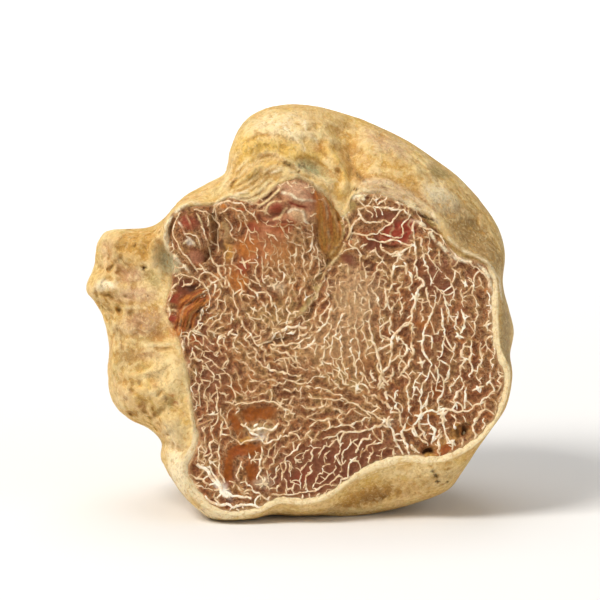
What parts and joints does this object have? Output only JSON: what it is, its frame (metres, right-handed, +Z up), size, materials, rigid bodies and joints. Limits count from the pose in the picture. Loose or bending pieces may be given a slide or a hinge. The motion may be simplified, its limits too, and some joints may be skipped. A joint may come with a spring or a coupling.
{
  "type": "white truffle",
  "caption": "Half of a white truffle: a lobed, ochre-skinned fungus sliced open, its brown flesh marbled with a raised net of cream veins.",
  "frame": {"origin": "middle of the footprint's bounding box, on the surface that the truffle rests on", "axes": "+Z up, the cut face looks along -Y and leans back a little, +X to the right of someone looking at the cut face"},
  "size_m": [0.0616, 0.043, 0.0579],
  "materials": {
    "skin": "satin, mottled ochre and cream peridium with fine brown specks",
    "flesh": "moist, fine-grained pinkish brown gleba",
    "veins": "matt cream-white sterile veins"
  },
  "bodies": {
    "root": {"truffle": "skin"}
  },
  "joints": []
}
